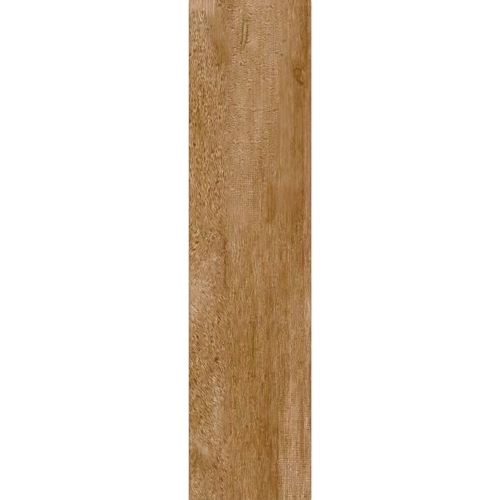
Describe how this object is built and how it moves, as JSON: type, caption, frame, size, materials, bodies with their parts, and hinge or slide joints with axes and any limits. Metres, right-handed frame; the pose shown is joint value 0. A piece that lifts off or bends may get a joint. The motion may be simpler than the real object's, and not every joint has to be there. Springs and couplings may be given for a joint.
{
  "type": "wood look porcelain plank tile",
  "caption": "Glazed porcelain floor and wall plank tile with a wood grain face, pressed round edges and a ribbed grid back for bedding in adhesive.",
  "frame": {"origin": "centre of the resting plane, which the ribs and lands of the back touch", "axes": "+Z out of the glazed face, +Y along the plank and its grain, +X across the plank"},
  "size_m": [0.147, 0.6, 0.009],
  "materials": {
    "glazed_porcelain": "matt wood print glaze on a buff fired body"
  },
  "bodies": {
    "root": {"porcelain_plank": "glazed_porcelain"}
  },
  "joints": []
}
